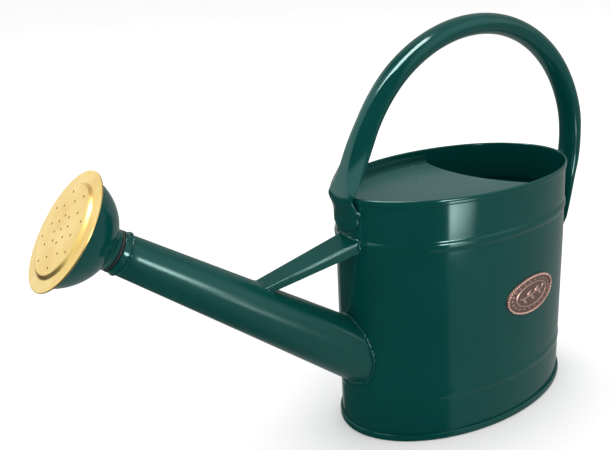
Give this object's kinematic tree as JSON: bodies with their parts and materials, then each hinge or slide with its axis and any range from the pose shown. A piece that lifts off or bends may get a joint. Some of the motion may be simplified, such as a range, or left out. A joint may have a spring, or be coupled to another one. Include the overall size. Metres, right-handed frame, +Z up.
{
  "type": "oval watering can",
  "caption": "Oval sheet-steel watering can with a half cover, hoop handle, braced slanted spout and a lift-off brass-faced rose.",
  "frame": {"origin": "on the ground, under the middle of the oval tank", "axes": "+Z up, X along the oval's long axis with the spout pointing to -X, Y across the can"},
  "size_m": [0.4821, 0.1382, 0.3223],
  "materials": {
    "green_paint": "glossy deep green enamel over sheet steel",
    "painted_weld": "uneven weld metal and solder under the same green enamel",
    "black_rubber": "matt black",
    "brass": "pale gold, softly polished",
    "aged_copper": "aged copper with dark recesses"
  },
  "bodies": {
    "can": {"tank_wall": "green_paint", "base_plate": "green_paint", "top_cover": "green_paint", "spout_tube": "green_paint", "spout_socket": "green_paint", "socket_weld": "painted_weld", "spout_root_weld": "painted_weld", "brace": "green_paint", "brace_tank_weld": "painted_weld", "brace_foot_weld": "painted_weld", "badge_solder": "painted_weld", "badge_plate": "aged_copper", "badge_border": "aged_copper", "handle": "green_paint", "handle_front_solder": "painted_weld", "handle_rear_solder": "painted_weld"},
    "washer": {"rose_washer": "black_rubber"},
    "rose": {"rose_stem": "green_paint", "rose_neck": "green_paint", "rose_bowl": "green_paint", "rose_face": "brass"}
  },
  "joints": [
    {"name": "rose_pull", "type": "slide", "parent": "can", "child": "washer", "axis": [-0.8059, 0, 0.592], "range_m": [0, 0.03]},
    {"name": "rose_turn", "type": "hinge", "parent": "washer", "child": "rose", "pos_m": [-0.2838, 0, 0.1999], "axis": [-0.8059, 0, 0.592], "continuous": true}
  ]
}
